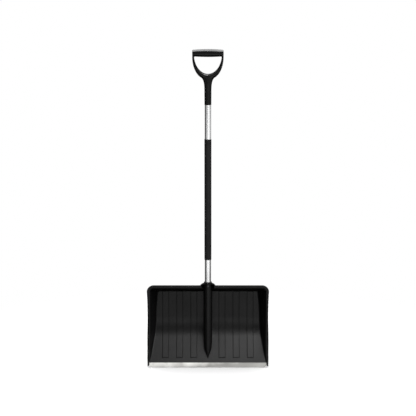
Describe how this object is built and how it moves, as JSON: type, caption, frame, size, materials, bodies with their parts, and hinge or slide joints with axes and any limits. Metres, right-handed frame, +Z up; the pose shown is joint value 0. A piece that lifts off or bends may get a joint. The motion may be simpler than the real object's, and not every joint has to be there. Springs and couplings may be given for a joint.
{
  "type": "snow shovel",
  "caption": "Upright snow shovel: wide ribbed plastic scoop blade with a riveted metal wear edge, a sleeved aluminium shaft and a D-shaped hand grip.",
  "frame": {"origin": "on the ground under the middle of the shovel's own width and depth, at the level of the cutting edge", "axes": "+Z up along the shaft, -Y out of the open side of the blade, +X to the right as seen from the open side"},
  "size_m": [0.553, 0.11, 1.431],
  "materials": {
    "blade_plastic": "satin black moulded polypropylene, fine grain",
    "strip_aluminium": "mill finish, brushed along its length",
    "rivet_aluminium": "plain",
    "tube_aluminium": "clear anodised, drawn lengthwise",
    "sleeve_soft": "soft black sleeve",
    "core_plastic": "plain moulded",
    "screw_steel": "black passivated steel",
    "grip_plastic": "satin black moulded polypropylene",
    "cap_soft": "mid grey soft-touch moulding"
  },
  "bodies": {
    "root": {"blade": "blade_plastic", "wear_edge": "strip_aluminium", "shaft_tube": "tube_aluminium", "grip_sleeve": "sleeve_soft", "lower_tube_plug": "core_plastic", "upper_tube_plug": "core_plastic", "blade_screw": "screw_steel", "d_grip_screw": "screw_steel", "d_grip_frame": "grip_plastic", "d_grip_cap": "cap_soft", "wear_edge_rivet_1": "rivet_aluminium", "wear_edge_rivet_2": "rivet_aluminium", "wear_edge_rivet_3": "rivet_aluminium", "wear_edge_rivet_4": "rivet_aluminium", "wear_edge_rivet_5": "rivet_aluminium", "wear_edge_rivet_6": "rivet_aluminium", "wear_edge_rivet_7": "rivet_aluminium", "wear_edge_rivet_8": "rivet_aluminium", "wear_edge_rivet_9": "rivet_aluminium"}
  },
  "joints": []
}
